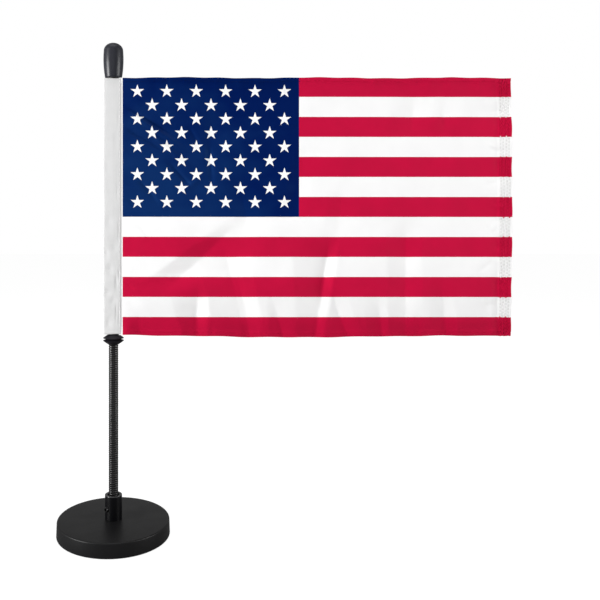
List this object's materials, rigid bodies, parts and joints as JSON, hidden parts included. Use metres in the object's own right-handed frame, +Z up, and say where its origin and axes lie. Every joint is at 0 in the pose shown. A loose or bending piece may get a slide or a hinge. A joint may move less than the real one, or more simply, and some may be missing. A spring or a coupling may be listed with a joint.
{
  "type": "desk flag stand",
  "caption": "Weighted round desk stand with a bendable ribbed neck that carries a small cloth flag on a pole sleeve under a rubber cap.",
  "frame": {"origin": "middle of the base pad's underside, on the surface that the stand stands on", "axes": "+Z up along the pole, +X from the pole towards the flag's fly edge, -Y towards the viewer of the flag's front"},
  "size_m": [0.2671, 0.0662, 0.2884],
  "materials": {
    "base_coat": "matte",
    "collar_coat": "satin",
    "weight_iron": "matte",
    "pad_rubber": "matte",
    "screw_steel": "satin",
    "set_screw_steel": "satin",
    "neck_steel": "satin",
    "ferrule_steel": "satin",
    "stop_coat": "satin",
    "sleeve_cloth": "matte",
    "flag_cloth": "matte",
    "cap_rubber": "satin"
  },
  "bodies": {
    "base": {"base_cover": "base_coat", "base_weight": "weight_iron", "base_pad": "pad_rubber", "collar_screw": "screw_steel", "collar_screw_washer": "screw_steel", "collar": "collar_coat", "neck_ferrule_lower": "ferrule_steel", "neck_wedge_coil_0": "neck_steel", "neck_round_coil_0": "neck_steel"},
    "set_screw": {"set_screw": "set_screw_steel"},
    "neck_1": {"neck_wedge_coil_1": "neck_steel", "neck_round_coil_1": "neck_steel"},
    "neck_2": {"neck_wedge_coil_2": "neck_steel", "neck_round_coil_2": "neck_steel"},
    "neck_3": {"neck_wedge_coil_3": "neck_steel", "neck_round_coil_3": "neck_steel"},
    "neck_4": {"neck_wedge_coil_4": "neck_steel", "neck_round_coil_4": "neck_steel"},
    "neck_5": {"neck_wedge_coil_5": "neck_steel", "neck_round_coil_5": "neck_steel"},
    "neck_6": {"neck_wedge_coil_6": "neck_steel", "neck_round_coil_6": "neck_steel"},
    "neck_7": {"neck_wedge_coil_7": "neck_steel", "neck_round_coil_7": "neck_steel"},
    "pole": {"neck_wedge_coil_8": "neck_steel", "neck_round_coil_8": "neck_steel", "neck_ferrule_upper": "ferrule_steel"},
    "flag_stop": {"stop_upper_cup": "stop_coat", "stop_lower_cup": "stop_coat"},
    "flag_hoist": {"flag_sleeve": "sleeve_cloth", "flag_panel_hoist": "flag_cloth"},
    "flag_fly": {"flag_panel_fly": "flag_cloth"},
    "cap": {"finial_cap": "cap_rubber"}
  },
  "joints": [
    {"name": "set_screw_turn", "type": "hinge", "parent": "base", "child": "set_screw", "pos_m": [-0.00244, -0.00244, 0.0155], "axis": [-0.7071, -0.7071, 0], "range_deg": [0, 720]},
    {"name": "bend_1", "type": "hinge", "parent": "base", "child": "neck_1", "pos_m": [0, 0, 0.0275], "axis": [0, 1, 0], "range_deg": [-20, 20]},
    {"name": "bend_2", "type": "hinge", "parent": "neck_1", "child": "neck_2", "pos_m": [0, 0, 0.037], "axis": [1, 0, 0], "range_deg": [-20, 20]},
    {"name": "bend_3", "type": "hinge", "parent": "neck_2", "child": "neck_3", "pos_m": [0, 0, 0.0465], "axis": [0, -1, 0], "range_deg": [-20, 20]},
    {"name": "bend_4", "type": "hinge", "parent": "neck_3", "child": "neck_4", "pos_m": [0, 0, 0.056], "axis": [-1, 0, 0], "range_deg": [-20, 20]},
    {"name": "bend_5", "type": "hinge", "parent": "neck_4", "child": "neck_5", "pos_m": [0, 0, 0.0655], "axis": [0, 1, 0], "range_deg": [-20, 20]},
    {"name": "bend_6", "type": "hinge", "parent": "neck_5", "child": "neck_6", "pos_m": [0, 0, 0.075], "axis": [1, 0, 0], "range_deg": [-20, 20]},
    {"name": "bend_7", "type": "hinge", "parent": "neck_6", "child": "neck_7", "pos_m": [0, 0, 0.0845], "axis": [0, -1, 0], "range_deg": [-20, 20]},
    {"name": "bend_8", "type": "hinge", "parent": "neck_7", "child": "pole", "pos_m": [0, 0, 0.094], "axis": [-1, 0, 0], "range_deg": [-20, 20]},
    {"name": "stop_slide", "type": "slide", "parent": "pole", "child": "flag_stop", "axis": [0, 0, 1], "range_m": [-0.014, 0]},
    {"name": "flag_swivel", "type": "hinge", "parent": "flag_stop", "child": "flag_hoist", "pos_m": [0, 0, 0.1175], "axis": [0, 0, 1], "continuous": true},
    {"name": "fly_fold", "type": "hinge", "parent": "flag_hoist", "child": "flag_fly", "pos_m": [0.1195, 0, 0.1924], "axis": [0, 0, 1], "range_deg": [-60, 60]},
    {"name": "cap_pull", "type": "slide", "parent": "pole", "child": "cap", "axis": [0, 0, 1], "range_m": [0, 0.02]}
  ]
}
